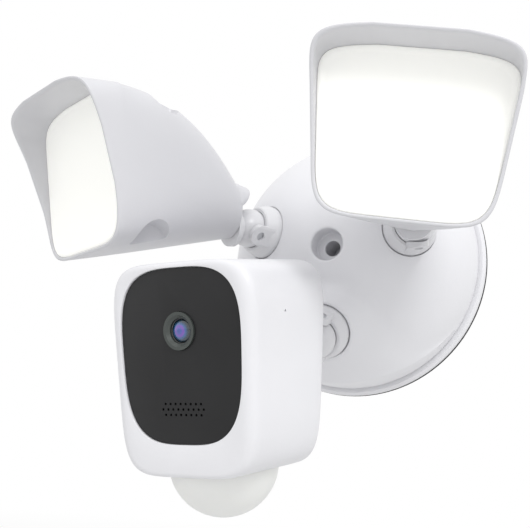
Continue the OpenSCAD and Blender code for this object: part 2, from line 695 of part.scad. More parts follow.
wall_gasket();
back_plate();
mounting_crossbar();
base_cover();
canopy_screw();
driver_board();
driver_transformer();
driver_capacitors();
terminal_block();
cable_grommet();
socket_seals();
collar("left");  // left_collar
collar_nut("left");  // left_collar_nut
tilt_screw("left");  // left_tilt_screw
knuckle("left");  // left_knuckle
collar("right");  // right_collar
collar_nut("right");  // right_collar_nut
tilt_screw("right");  // right_tilt_screw
knuckle("right");  // right_knuckle
collar("camera");  // camera_collar
collar_nut("camera");  // camera_collar_nut
tilt_screw("camera");  // camera_tilt_screw
knuckle("camera");  // camera_knuckle
lamp_housing("left");  // left_housing
lamp_diffuser("left");  // left_diffuser
lamp_diffuser_seal("left");  // left_diffuser_seal
lamp_reflector("left");  // left_reflector
lamp_led_board("left");  // left_led_board
lamp_led_chips("left");  // left_led_chips
lamp_heat_sink("left");  // left_heat_sink
lamp_screws("left");  // left_lamp_screws
lamp_housing("right");  // right_housing
lamp_diffuser("right");  // right_diffuser
lamp_diffuser_seal("right");  // right_diffuser_seal
lamp_reflector("right");  // right_reflector
lamp_led_board("right");  // right_led_board
lamp_led_chips("right");  // right_led_chips
lamp_heat_sink("right");  // right_heat_sink
lamp_screws("right");  // right_lamp_screws
camera_front_shell();
camera_rear_shell();
camera_front_panel();
camera_lens_ring();
camera_lens_glass();
camera_lens_barrel();
camera_sensor_board();
camera_ir_leds();
camera_speaker();
camera_microphone();
camera_main_board();
camera_antenna();
motion_dome();
motion_sensor();
motion_sensor_holder();
reset_button();
camera_shell_seal();
camera_shell_screws();
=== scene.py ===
import json
import math

import bmesh
import bpy
from mathutils import Matrix, Vector


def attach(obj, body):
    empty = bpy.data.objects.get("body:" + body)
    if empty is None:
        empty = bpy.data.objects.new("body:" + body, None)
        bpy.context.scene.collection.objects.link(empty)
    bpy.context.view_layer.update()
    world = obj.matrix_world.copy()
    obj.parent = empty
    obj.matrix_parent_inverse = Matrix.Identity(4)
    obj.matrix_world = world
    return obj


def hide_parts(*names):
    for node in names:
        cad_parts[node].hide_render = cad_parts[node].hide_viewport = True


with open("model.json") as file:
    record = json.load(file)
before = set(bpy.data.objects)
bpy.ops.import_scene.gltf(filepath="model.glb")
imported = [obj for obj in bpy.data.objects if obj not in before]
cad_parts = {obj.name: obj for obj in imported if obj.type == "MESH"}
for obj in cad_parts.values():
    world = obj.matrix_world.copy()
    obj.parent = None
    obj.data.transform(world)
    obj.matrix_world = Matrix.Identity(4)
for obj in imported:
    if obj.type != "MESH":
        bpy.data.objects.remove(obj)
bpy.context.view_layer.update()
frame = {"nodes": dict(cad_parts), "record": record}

RECORD = frame["record"]
JOINTS = {j["name"]: j for j in RECORD["behaviour"]["joints"]}
MM = 0.001

# ---- camera ----

AZIMUTH, ELEVATION, ROLL = math.radians(22.9), math.radians(-12.3), math.radians(4.3)
DISTANCE, SIDE, RISE = 0.608, 0.048, -0.0022
SENSOR_WIDTH = 36
LENS_LENGTH = 1200 / 530 * SENSOR_WIDTH

toward = Vector((math.sin(AZIMUTH) * math.cos(ELEVATION),
                 -math.cos(AZIMUTH) * math.cos(ELEVATION), math.sin(ELEVATION)))
level = Vector((math.cos(AZIMUTH), math.sin(AZIMUTH), 0))
above = toward.cross(level)
right_way = level * math.cos(ROLL) + above * math.sin(ROLL)
up_way = above * math.cos(ROLL) - level * math.sin(ROLL)
cam_data = bpy.data.cameras.new("view_camera")
cam_data.sensor_width = SENSOR_WIDTH
cam_data.lens = LENS_LENGTH
cam_data.clip_start = 0.01
camera = bpy.data.objects.new("view_camera", cam_data)
bpy.context.scene.collection.objects.link(camera)
place = toward * DISTANCE - right_way * SIDE - up_way * RISE
camera.matrix_world = Matrix((
    (right_way.x, up_way.x, toward.x, place.x),
    (right_way.y, up_way.y, toward.y, place.y),
    (right_way.z, up_way.z, toward.z, place.z),
    (0, 0, 0, 1)))
bpy.context.scene.camera = camera


# ---- places ----

class Frame:
    """Axes in which the pieces are drawn in millimetres."""

    def __init__(self, origin, right, up, front):
        self.o, self.x, self.y, self.z = Vector(origin), Vector(right), Vector(up), Vector(front)

    def at(self, p):
        return self.o + (self.x * p[0] + self.y * p[1] + self.z * p[2]) * MM

    def moved(self, p):
        return Frame(self.at(p), self.x, self.y, self.z)


WALL = Frame((0, 0, 0), (1, 0, 0), (0, 0, 1), (0, -1, 0))


def facing(yaw, pitch):
    y, p = math.radians(yaw), math.radians(pitch)
    return Vector((-math.sin(y) * math.cos(p), -math.cos(y) * math.cos(p), -math.sin(p)))


def upright_frame(origin, front, roll=0.0):
    right = Vector((0, 0, 1)).cross(front).normalized()
    up = front.cross(right)
    r = math.radians(roll)
    return Frame(origin, right * math.cos(r) + up * math.sin(r),
                 up * math.cos(r) - right * math.sin(r), front)


def joint_frame(name, axis_name=None):
    axis = Vector(JOINTS[axis_name or name]["axis"]).normalized()
    right = Vector((0, 0, 1)).cross(axis).normalized()
    return Frame(JOINTS[name]["pos_m"], right, axis.cross(right), axis)


# ---- mesh helpers ----

def mesh_object(name, points, faces, sharp=35):
    me = bpy.data.meshes.new(name)
    me.from_pydata([tuple(p) for p in points], [], faces)
    bm = bmesh.new()
    bm.from_mesh(me)
    bmesh.ops.remove_doubles(bm, verts=bm.verts, dist=1e-7)
    bmesh.ops.recalc_face_normals(bm, faces=bm.faces)
    bm.to_mesh(me)
    bm.free()
    me.shade_smooth()
    me.set_sharp_from_angle(angle=math.radians(sharp))
    ob = bpy.data.objects.new(name, me)
    bpy.context.scene.collection.objects.link(ob)
    return ob


def skin(name, fr, rings, closed=False, sharp=35):
    """Surface through rings of local points, capped at both ends or closed into a loop."""
    n = len(rings[0])
    points = [fr.at(p) for ring in rings for p in ring]
    faces = []
    m = len(rings)
    for k in range(m if closed else m - 1):
        a, b = k * n, ((k + 1) % m) * n
        for i in range(n):
            j = (i + 1) % n
            faces.append((a + i, a + j, b + j, b + i))
    if not closed:
        faces.append(tuple(range(n)))
        faces.append(tuple(reversed(range((m - 1) * n, m * n))))
    return mesh_object(name, points, faces, sharp)


def revolve(name, fr, profile, n=96, sharp=35):
    """Solid of revolution about the frame's z; the profile is a list of (radius, z)."""
    points, rings = [], []
    for r, z in profile:
        if r < 1e-6:
            rings.append([len(points)])
            points.append(fr.at((0, 0, z)))
        else:
            rings.append(list(range(len(points), len(points) + n)))
            for i in range(n):
                t = math.tau * i / n
                points.append(fr.at((r * math.cos(t), r * math.sin(t), z)))
    faces = []
    for a, b in zip(rings, rings[1:]):
        for i in range(n):
            j = (i + 1) % n
            if len(a) == 1 and len(b) == 1:
                continue
            if len(a) == 1:
                faces.append((a[0], b[j], b[i]))
            elif len(b) == 1:
                faces.append((a[i], a[j], b[0]))
            else:
                faces.append((a[i], a[j], b[j], b[i]))
    return mesh_object(name, points, faces, sharp)


def boolean(ob, cutters, operation="DIFFERENCE", sharp=35):
    for cutter in cutters:
        m = ob.modifiers.new("cut", "BOOLEAN")
        m.object, m.operation, m.solver = cutter, operation, "EXACT"
    bpy.context.view_layer.update()
    dg = bpy.context.evaluated_depsgraph_get()
    me = bpy.data.meshes.new_from_object(ob.evaluated_get(dg))
    ob.modifiers.clear()
    old = ob.data
    ob.data = me
    bpy.data.meshes.remove(old)
    me.shade_smooth()
    me.set_sharp_from_angle(angle=math.radians(sharp))
    for cutter in cutters:
        cm = cutter.data
        bpy.data.objects.remove(cutter)
        bpy.data.meshes.remove(cm)
    return ob


def finish_piece(ob, body, material, node):
    """Colour a piece, let it ride its body and replace the CAD node it stands for."""
    ob.data.materials.clear()
    ob.data.materials.append(material)
    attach(ob, body)
    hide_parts(node)


# ---- materials ----

def new_material(name):
    mat = bpy.data.materials.new(name)
    mat.use_nodes = True
    nt = mat.node_tree
    return mat, nt, nt.nodes["Principled BSDF"]


def surface(name, color, rough, metallic=0.0, mottle=0.03, grain=900.0, bump=0.05, scuff=0.08,
            coat=0.0, sss=0.0, emission=0.0, specular=0.5):
    """Moulded or machined surface: faint mottling, roughness patches, scuffs and a fine grain."""
    mat, nt, bsdf = new_material(name)
    nodes, links = nt.nodes, nt.links
    coords = nodes.new("ShaderNodeTexCoord")
    broad = nodes.new("ShaderNodeTexNoise")
    broad.inputs["Scale"].default_value = 28
    broad.inputs["Detail"].default_value = 4
    links.new(coords.outputs["Object"], broad.inputs["Vector"])
    shades = nodes.new("ShaderNodeValToRGB")
    shades.color_ramp.elements[0].position = 0.3
    shades.color_ramp.elements[1].position = 0.7
    shades.color_ramp.elements[0].color = [c * (1 - mottle) for c in color] + [1]
    shades.color_ramp.elements[1].color = list(color) + [1]
    links.new(broad.outputs["Fac"], shades.inputs["Fac"])
    stretch = nodes.new("ShaderNodeMapping")
    stretch.inputs["Scale"].default_value = (60, 60, 900)
    stretch.inputs["Rotation"].default_value = (0.5, 0.3, 0.8)
    links.new(coords.outputs["Object"], stretch.inputs["Vector"])
    marks = nodes.new("ShaderNodeTexNoise")
    marks.inputs["Scale"].default_value = 1.0
    marks.inputs["Detail"].default_value = 6
    links.new(stretch.outputs["Vector"], marks.inputs["Vector"])
    marked = nodes.new("ShaderNodeMapRange")
    marked.inputs["From Min"].default_value = 0.62
    marked.inputs["From Max"].default_value = 0.74
    links.new(marks.outputs["Fac"], marked.inputs["Value"])
    dull = nodes.new("ShaderNodeMapRange")
    dull.inputs["To Min"].default_value = max(0.02, rough - 0.06)
    dull.inputs["To Max"].default_value = min(1.0, rough + 0.06)
    links.new(broad.outputs["Fac"], dull.inputs["Value"])
    both = nodes.new("ShaderNodeMath")
    both.operation = "MULTIPLY_ADD"
    both.inputs[1].default_value = scuff
    links.new(marked.outputs["Result"], both.inputs[0])
    links.new(dull.outputs["Result"], both.inputs[2])
    links.new(both.outputs["Value"], bsdf.inputs["Roughness"])
    links.new(shades.outputs["Color"], bsdf.inputs["Base Color"])
    fine = nodes.new("ShaderNodeTexNoise")
    fine.inputs["Scale"].default_value = grain
    fine.inputs["Detail"].default_value = 2
    links.new(coords.outputs["Object"], fine.inputs["Vector"])
    relief = nodes.new("ShaderNodeBump")
    relief.inputs["Strength"].default_value = bump
    relief.inputs["Distance"].default_value = 0.0004
    links.new(fine.outputs["Fac"], relief.inputs["Height"])
    links.new(relief.outputs["Normal"], bsdf.inputs["Normal"])
    bsdf.inputs["Metallic"].default_value = metallic
    bsdf.inputs["Specular IOR Level"].default_value = specular
    bsdf.inputs["Coat Weight"].default_value = coat
    bsdf.inputs["Coat Roughness"].default_value = 0.15
    if sss:
        bsdf.inputs["Subsurface Weight"].default_value = sss
        bsdf.inputs["Subsurface Radius"].default_value = (1.0, 1.0, 0.9)
        bsdf.inputs["Subsurface Scale"].default_value = 0.003
    if emission:
        bsdf.inputs["Emission Color"].default_value = list(color) + [1]
        bsdf.inputs["Emission Strength"].default_value = emission
    return mat


WHITE = surface("white_plastic", (0.77, 0.77, 0.795), 0.38, bump=0.05, coat=0.1)
# Darker copy of the white plastic for the lamp housings: the lower albedo is painted shade, not a
# coating of their own.
LAMP_WHITE_PAINTED_SHADE = surface("lamp_white_painted_shade", (0.63, 0.63, 0.655), 0.42, bump=0.06, coat=0.05)
ARM_WHITE = surface("arm_plastic", (0.7, 0.7, 0.72), 0.34, bump=0.05, coat=0.1)
DIFFUSER = surface("diffuser_plastic", (0.8, 0.8, 0.77), 0.5, mottle=0.012, bump=0.03, scuff=0.03,
                   sss=0.2, emission=0.34)
DOME = surface("dome_plastic", (0.84, 0.845, 0.82), 0.38, mottle=0.02, bump=0.04, sss=0.4, coat=0.15)
BLACK = surface("black_panel", (0.014, 0.014, 0.015), 0.42, mottle=0.25, bump=0.03, scuff=0.1,
                specular=0.35)
DARK = surface("black_plastic", (0.02, 0.02, 0.02), 0.5, mottle=0.3)
RING = surface("grey_metal", (0.075, 0.085, 0.08), 0.35, metallic=0.3, mottle=0.2)
RUBBER = surface("rubber", (0.03, 0.03, 0.03), 0.75, mottle=0.3, bump=0.2, grain=500)
STEEL = surface("zinc_steel", (0.6, 0.61, 0.63), 0.34, metallic=1.0, mottle=0.12, bump=0.1)
ALUMINIUM = surface("raw_aluminium", (0.72, 0.73, 0.75), 0.4, metallic=1.0, mottle=0.1, bump=0.1)
BOARD = surface("circuit_board", (0.01, 0.09, 0.035), 0.45, mottle=0.4, bump=0.15, grain=300)
REFLECTOR = surface("reflector_plastic", (0.88, 0.88, 0.88), 0.3)
PHOSPHOR = surface("led_phosphor", (0.8, 0.55, 0.08), 0.5, mottle=0.1)
TAPE = surface("transformer_tape", (0.55, 0.38, 0.05), 0.5, mottle=0.15, bump=0.2, grain=250)
IVORY = surface("ivory_plastic", (0.78, 0.73, 0.58), 0.45, mottle=0.05)

SLOT_MATERIAL = {
    "white_plastic": WHITE, "arm_plastic": ARM_WHITE, "diffuser_plastic": DIFFUSER,
    "dome_plastic": DOME, "black_plastic": DARK, "grey_metal": RING, "coated_glass": BLACK,
    "rubber": RUBBER, "steel": STEEL, "aluminium": ALUMINIUM, "circuit_board": BOARD,
    "reflector_plastic": REFLECTOR, "led_yellow": PHOSPHOR, "transformer": TAPE,
    "ivory_plastic": IVORY}


def lens_material():
    """Coated glass with painted reflections: purple in the middle, blue and teal towards the rim."""
    mat, nt, bsdf = new_material("coated_glass")
    nodes, links = nt.nodes, nt.links
    geo = nodes.new("ShaderNodeTexCoord")
    centre = nodes.new("ShaderNodeVectorMath")
    centre.operation = "DISTANCE"
    centre.inputs[1].default_value = LENS_CENTRE
    links.new(geo.outputs["Object"], centre.inputs[0])
    share = nodes.new("ShaderNodeMapRange")
    share.inputs["From Max"].default_value = 0.0054
    links.new(centre.outputs["Value"], share.inputs["Value"])
    # Painted reflection: rings of reflected colour set into the base colour by distance from the lens
    # centre.
    painted_reflection_rings = nodes.new("ShaderNodeValToRGB")
    els = painted_reflection_rings.color_ramp.elements
    els[0].position, els[0].color = 0.0, (0.02, 0.03, 0.12, 1)
    els[1].position, els[1].color = 1.0, (0.0, 0.0, 0.004, 1)
    for pos, col in ((0.25, (0.04, 0.08, 0.35, 1)), (0.45, (0.16, 0.05, 0.4, 1)),
                     (0.6, (0.02, 0.1, 0.3, 1)), (0.8, (0.0, 0.03, 0.06, 1))):
        e = els.new(pos)
        e.color = col
    links.new(share.outputs["Result"], painted_reflection_rings.inputs["Fac"])
    links.new(painted_reflection_rings.outputs["Color"], bsdf.inputs["Base Color"])
    smudge = nodes.new("ShaderNodeTexNoise")
    smudge.inputs["Scale"].default_value = 300
    links.new(geo.outputs["Object"], smudge.inputs["Vector"])
    rough = nodes.new("ShaderNodeMapRange")
    rough.inputs["To Min"].default_value = 0.03
    rough.inputs["To Max"].default_value = 0.09
    links.new(smudge.outputs["Fac"], rough.inputs["Value"])
    links.new(rough.outputs["Result"], bsdf.inputs["Roughness"])
    bsdf.inputs["Coat Weight"].default_value = 1.0
    bsdf.inputs["Coat Roughness"].default_value = 0.03
    bsdf.inputs["Specular IOR Level"].default_value = 0.8
    return mat


# ---- outlines ----

def within(u):
    return min(1.0, max(0.0, u))


def mix(a, b, u):
    return a + (b - a) * u


def signed_power(v, p):
    return math.copysign(abs(v) ** p, v)


def outline(a, b, power, k=0.0, arch=0.0, square=1.0, n=160):
    """Rounded outline, wider above by the share k, with an arched top and squarer upper corners."""
    out = []
    for i in range(n):
        t = math.tau * (i + 0.5) / n
        p = power * square if t < math.pi else power
        across = signed_power(math.cos(t), 2 / p)
        y = b * signed_power(math.sin(t), 2 / p)
        out.append((a * across * (1 + k * y / b),
                    y + (arch * (1 - across * across) * y / b if y > 0 else 0.0)))
    return out


# ---- lamps ----

LAMP_W, LAMP_H, LAMP_REACH, LAMP_LIFT = 78.0, 69.0, 87.0, 17.5
HOOD, TAPER, ARCH, LAMP_ROUND, LAMP_SQUARE = 20.75, 0.1, 4.0, 6.0, 0.5
LAMP_WALL, LENS_T, SEAT_ROUND = 1.5, 3.0, 4.6
LAMP_NECK, GAP = 11.0, 0.3
TAIL_END = LAMP_REACH - LAMP_NECK - GAP
TAIL_HALF, TAIL_UP, TAIL_LIP = (13.0, 13.5), 8.0, 11.0
SPIGOT_R, SPIGOT_L, SNAP_R = 5.0, 10.0, 6.2
SNAP_START = SPIGOT_L - 1.9      # where the pocket for the snap ring starts
SCOOP_R, SCOOP_L = 10.0, 18.0
SCOOP_UNDER, SCOOP_OVER = (21.0, 9.0), (27.0, 8.0)


def lamp_top(u):
    return mix(LAMP_H / 2, TAIL_UP + TAIL_HALF[1] - LAMP_LIFT, u ** 2.7)


def lamp_bottom(u):
    return mix(-LAMP_H / 2, TAIL_UP - TAIL_HALF[1] - LAMP_LIFT, u ** 1.1)


def lamp_half_width(u):
    return mix(LAMP_W / 2, TAIL_HALF[0], u ** 1.9)


def lamp_outline(s, inset, power):
    u = within(s / TAIL_END)
    half = (lamp_top(u) - lamp_bottom(u)) / 2
    return outline(lamp_half_width(u) - inset, half - inset, power, TAPER * (1 - u), ARCH * (1 - u),
                   1 + LAMP_SQUARE * (power - 2) / (LAMP_ROUND - 2))


def lamp_middle(s):
    u = within(s / TAIL_END)
    return (lamp_top(u) + lamp_bottom(u)) / 2


def lifted(points, z, up=0.0):
    return [(x, y + up, z) for x, y in points]


def lamp_ring(s, inset):
    power = mix(LAMP_ROUND, 2, within(s / TAIL_END) ** 0.5)
    return lifted(lamp_outline(s, inset, power), -s, lamp_middle(s))


def lamp_hollow(s, inset):
    return lifted(lamp_outline(s, inset, mix(LAMP_ROUND, 2.1, within(s / 14))), -s, lamp_middle(s))


def hood_ring(inset, share, rim=0.0):
    return [(x, y, share * HOOD * within((y + LAMP_H / 2) / (LAMP_H + ARCH)) ** 2 + rim)
            for x, y in lamp_outline(0, inset, LAMP_ROUND)]


def tail_ring(inset, reach):
    return [(x, y + TAIL_UP - LAMP_LIFT, -TAIL_END - reach * within(y / TAIL_HALF[1]) ** 0.6)
            for x, y in outline(TAIL_HALF[0] - inset, TAIL_HALF[1] - inset, 2)]


def lamp(arm, roll):
    """Housing with its hood and its scoops, and the lens cover that closes it."""
    pin = Vector(JOINTS[arm + "_tilt"]["pos_m"])
    front = Vector(JOINTS[arm + "_spin"]["axis"])
    fr = upright_frame(pin, front, roll)
    fr = fr.moved((0, LAMP_LIFT, LAMP_REACH))
    rings = [lamp_hollow(s, LAMP_WALL + 3 + 3 * within(s / 26) - 3 * within((s - 38) / 26))
             for s in (64, 52, 38, 26, 14)]
    rings += [lamp_ring(6, LAMP_WALL + 0.2), lamp_ring(3, LAMP_WALL + 0.1)]
    rings += [hood_ring(LAMP_WALL, k / 12) for k in range(13)]
    rings += [hood_ring(LAMP_WALL / 2 + LAMP_WALL / 2 * math.cos(math.radians(a)), 1,
                        0.8 * math.sin(math.radians(a))) for a in range(30, 180, 30)]
    rings += [hood_ring(0, k / 12) for k in range(12, 0, -1)]
    steps = int((TAIL_END - 4) / 1.5)
    rings += [lamp_ring((TAIL_END - 4) * k / steps, 0) for k in range(steps + 1)]
    rings += [tail_ring(0, 0), tail_ring(0.3, TAIL_LIP * 0.3), tail_ring(1.2, TAIL_LIP * 0.6),
              tail_ring(1.8, TAIL_LIP * 0.85), tail_ring(2.4, TAIL_LIP), tail_ring(3.4, TAIL_LIP),
              tail_ring(4.4, 0)]
    body = skin(arm + "_housing_shell", fr, rings, sharp=50)
    bore = revolve("bore", fr.moved((0, -LAMP_LIFT, -LAMP_REACH)), [
        (0, LAMP_NECK - 2), (SPIGOT_R, LAMP_NECK - 2), (SPIGOT_R, LAMP_NECK + SNAP_START),
        (SNAP_R + GAP, LAMP_NECK + SNAP_START), (SNAP_R + GAP, LAMP_NECK + SPIGOT_L + 6),
        (0, LAMP_NECK + SPIGOT_L + 6)], 64)
    cutters = [bore]
    under, bite_under = SCOOP_UNDER
    over, bite_over = SCOOP_OVER
    for side in (-1, 1):
        for s, height in ((under, lamp_bottom(under / TAIL_END) + bite_under - SCOOP_R),
                          (over, lamp_top(over / TAIL_END) - bite_over + SCOOP_R)):
            x = side * (lamp_half_width(s / TAIL_END) - 8)
            cut = Frame(fr.at((x, height, -s)), fr.y, fr.z, fr.x)
            h = SCOOP_L / 2
            cutters.append(revolve("scoop", cut, [
                (0, -h), (SCOOP_R - 2, -h), (SCOOP_R - 0.6, -h + 0.6), (SCOOP_R, -h + 2),
                (SCOOP_R, h - 2), (SCOOP_R - 0.6, h - 0.6), (SCOOP_R - 2, h), (0, h)], 96))
    boolean(body, cutters, sharp=40)
    # The housing takes the darker white, which paints shade onto it.
    finish_piece(body, arm + "_lamp", LAMP_WHITE_PAINTED_SHADE, arm + "_housing")

    flat = [(LAMP_WALL + 0.8, -LENS_T, SEAT_ROUND), (LAMP_WALL + 0.3, -1.2, LAMP_ROUND),
            (LAMP_WALL + 0.15, -0.2, LAMP_ROUND), (LAMP_WALL + 0.3, 0.2, LAMP_ROUND),
            (LAMP_WALL + 0.7, 0.45, LAMP_ROUND), (LAMP_WALL + 1.3, 0.58, LAMP_ROUND),
            (LAMP_WALL + 2.2, 0.6, LAMP_ROUND), (LAMP_WALL + 2.8, 0.35, LAMP_ROUND),
            (LAMP_WALL + 3.6, 0.3, LAMP_ROUND), (9, 0.34, 5.5), (16, 0.42, 5), (24, 0.5, 4),
            (30, 0.55, 3)]
    rings = [lifted(lamp_outline(0, inset, power), z) for inset, z, power in flat]
    lens = skin(arm + "_lens_cover", fr, rings, sharp=60)
    finish_piece(lens, arm + "_lamp", DIFFUSER, arm + "_diffuser")


lamp("left", 0.0)
lamp("right", -4.5)

# ---- base ----

COVER_R, COVER_H, COVER_EDGE, COVER_WALL, PLATE_FRONT = 62.0, 52.0, 6.3, 2.4, 5.5
HOLE_R, HOLE_DEPTH, HOLE_IN, SEAT, COLUMN = 7.75, 9.5, 3.75, 26.0, 6.5
RING_R, STEM_R, RECESS = 13.2, 7.0, 2.0
ARMS = ("left", "right", "camera")
SOCKETS = {arm: (Vector(JOINTS[arm + "_swivel"]["pos_m"]) / MM,
                 Vector(JOINTS[arm + "_swivel"]["axis"]).normalized()) for arm in ARMS}


def soft_min(a, b, k):
    """The smaller value, blended over the width k."""
    h = max(k - abs(a - b), 0) / k
    return min(a, b) - h * h * k / 4


def soft_max(a, b, k):
    return -soft_min(-a, -b, k)


def plane_height(arm, x, y, inset):
    """Distance from the wall of a socket's plane, moved in by inset."""
    p, a = SOCKETS[arm]
    px, py, pz = p.x, p.z, -p.y
    ax, ay, az = a.x, a.z, -a.y
    return pz - (ax * (x - px) + ay * (y - py) + inset) / az


def boss_distance(x, y, z):
    """Distance of a point from the axis of the camera's socket."""
    p, a = SOCKETS["camera"]
    v = Vector((x, -z, y)) - p
    return (v - a * v.dot(a)).length


def cover_height(x, y, inset):
    r = math.hypot(x, y)
    big, rise = COVER_R - inset, COVER_H - COVER_EDGE - inset
    z = COVER_EDGE + rise * math.sqrt(max(0.0, 1 - (r / big) ** 2))
    k = 3.5 if inset == 0 else 2.0
    for arm in ARMS:
        z = soft_min(z, plane_height(arm, x, y, inset), k)
    top = plane_height("camera", x, y, 0)
    if inset == 0:
        skirt = top - 1.1 * max(0.0, boss_distance(x, y, top) - 14.3)
        return soft_max(z, skirt, 2.5)
    top = plane_height("camera", x, y, 7.0)
    return max(z, top - 5 * max(0.0, boss_distance(x, y, top) - 10.5))


def cover():
    """Domed canopy whose flats and boss are blended into it, with the screw's column inside."""
    n = 288
    turn = [math.tau * i / n for i in range(n)]

    def flat_ring(r, z):
        return [(r * math.cos(t), r * math.sin(t), z) for t in turn]

    def field_ring(r, inset, drop=0.0, edge=None):
        out = []
        for t in turn:
            x, y = r * math.cos(t), r * math.sin(t)
            src = (edge or r) / r
            out.append((x, y, cover_height(x * src, y * src, inset) - drop))
        return out

    rings = [flat_ring(COVER_R - 0.5, COVER_EDGE - 0.02), flat_ring(COVER_R, COVER_EDGE + 0.5)]
    for k in range(1, 20):
        rings.append(field_ring(COVER_R * math.cos(math.radians(k * 1.6)), 0))
    radius = COVER_R * math.cos(math.radians(19 * 1.6))
    count = 44
    for k in range(1, count + 1):
        rings.append(field_ring(mix(radius, HOLE_R + 0.9, k / count), 0))
    for a in (25, 50, 75, 90):
        s, c = math.sin(math.radians(a)), math.cos(math.radians(a))
        rings.append(field_ring(HOLE_R + 0.9 * (1 - s), 0, 0.9 * (1 - c), HOLE_R + 0.9))
    bottom = COVER_H - HOLE_DEPTH
    rings += [flat_ring(HOLE_R, bottom + 0.5), flat_ring(HOLE_R - 0.5, bottom),
              flat_ring(HOLE_IN + 0.3, bottom), flat_ring(HOLE_IN, bottom - 0.3),
              flat_ring(HOLE_IN, SEAT), flat_ring(2.2, SEAT), flat_ring(2.2, PLATE_FRONT + GAP),
              flat_ring(COLUMN, PLATE_FRONT + GAP), flat_ring(COLUMN, bottom - COVER_WALL),
              flat_ring(HOLE_R + COVER_WALL, bottom - COVER_WALL),
              field_ring(HOLE_R + COVER_WALL, COVER_WALL)]
    inner = COVER_R - COVER_WALL
    for k in range(1, 40):
        rings.append(field_ring(mix(HOLE_R + COVER_WALL, inner - 0.4, k / 39), COVER_WALL))
    rings.append(flat_ring(inner, COVER_EDGE))
    body = skin("canopy_shell", WALL, rings, closed=True, sharp=45)
    cutters = []
    for arm in ARMS:
        fr = joint_frame(arm + "_swivel")
        cutters.append(revolve("socket", fr, [
            (0, -14), (STEM_R, -14), (STEM_R, -RECESS), (RING_R, -RECESS), (RING_R, -0.35),
            (RING_R + 0.35, 0.0), (RING_R + 0.8, 4.0), (RING_R + 0.8, 9), (0, 9)], 128))
    boolean(body, cutters, sharp=40)
    finish_piece(body, "root", WHITE, "base_cover")


cover()

# ---- camera head ----

CAM_W, CAM_H, CAM_D = 72.0, 87.0, 62.0
CAM_FRONT, CAM_ROUND, CAM_TAPER, CAM_LEAN = CAM_D / 2, 5.5, 0.055, 0.14
FRONT_ROUND, BACK_ROUND, CAM_SPLIT, WALL_T = (5.0, 2.0), (12.0, 4.0), -24.0, 2.4
PANEL_W, PANEL_H, PANEL_UP, PANEL_T, PANEL_SINK = 61.0, 71.0, 5.5, 1.4, 0.7
LENS_UP, LENS_R, CAM_NECK, NECK_R = 15.5, 7.75, 25.0, 9.4
NECK_ENTER, DOME_R, DOME_SET, DOME_FORWARD = (2.0, 5.5), 23.0, 3.5, 5.3
DOME_WALL = 1.6
MIC = (8, 22, 8)                 # from the side and the top of the body, and forwards
BUTTON = (-16, -20)
HOLE_STEP, SPEAKER_DOWN = (2.6, 2.2), 16
CAM_FACE = facing(13, 12.5)
pin = Vector(JOINTS["camera_tilt"]["pos_m"])
neck_way = Vector(JOINTS["camera_spin"]["axis"]).normalized()
HEAD = upright_frame(pin + neck_way * CAM_NECK * MM, CAM_FACE)
HEAD = HEAD.moved((-NECK_ENTER[0], -NECK_ENTER[1], CAM_D / 2))
N_CAM = 224


def lean(z, y):
    return CAM_FRONT - (CAM_FRONT - z) * (1 - CAM_LEAN * (0.5 - y / CAM_H))


def edge_inset(d, r):
    return 0.0 if d >= r else r - math.sqrt(max(0.0, r * r - (r - d) ** 2))


def cam_ring(z, inset):
    d = max(CAM_FRONT - inset - abs(z), 0)
    rnd = FRONT_ROUND if z > 0 else BACK_ROUND
    a = CAM_W / 2 - inset - edge_inset(d, max(rnd[0] - inset, 0.5))
    b = CAM_H / 2 - inset - edge_inset(d, max(rnd[1] - inset, 0.5))
    return [(x, y, lean(z, y)) for x, y in outline(a, b, CAM_ROUND, CAM_TAPER, n=N_CAM)]


def panel_ring(inset, z):
    return lifted(outline(PANEL_W / 2 - inset, PANEL_H / 2 - inset, 3.3, 0.05, n=N_CAM), z, PANEL_UP)


def dome_cut():
    fr = Frame(HEAD.at((0, -CAM_H / 2, DOME_FORWARD)), HEAD.x, HEAD.z, -HEAD.y)
    return revolve("opening", fr, [(0, -10), (DOME_R + 0.05, -10), (DOME_R + 0.05, 10), (0, 10)], 128)


def front_shell():
    depth = (0, 0.08, 0.25, 0.5, 0.85, 1.3, 1.8, 2.4, 3.1, 4, 5, 6.5, 9, 13, 18, 24, 30, 36, 42,
             48, 54.2)
    rings = [cam_ring(z, WALL_T) for z in (CAM_SPLIT, -8, 6, 18, 22, CAM_FRONT - WALL_T)]
    shelf = CAM_FRONT - PANEL_SINK - PANEL_T
    rings += [panel_ring(2.5, CAM_FRONT - WALL_T - 0.6), panel_ring(2.5, shelf),
              panel_ring(-0.2, shelf), panel_ring(-0.2, CAM_FRONT - 0.25),
              panel_ring(-0.3, CAM_FRONT - 0.06), panel_ring(-0.45, CAM_FRONT)]
    rings += [cam_ring(CAM_FRONT - d, 0) for d in depth]
    rings += [cam_ring(CAM_SPLIT + 0.25, 0), cam_ring(CAM_SPLIT, 0.25)]
    body = skin("camera_front_case", HEAD, rings, closed=True, sharp=45)
    hole = Frame(HEAD.at((CAM_W / 2 - MIC[0], CAM_H / 2 - MIC[1], MIC[2])), HEAD.y, HEAD.z, HEAD.x)
    mic = revolve("mic", hole, [(0, 0), (0.6, 0), (0.6, 20), (0, 20)], 32)
    boolean(body, [dome_cut(), mic], sharp=40)
    finish_piece(body, "camera_head", WHITE, "camera_front_shell")


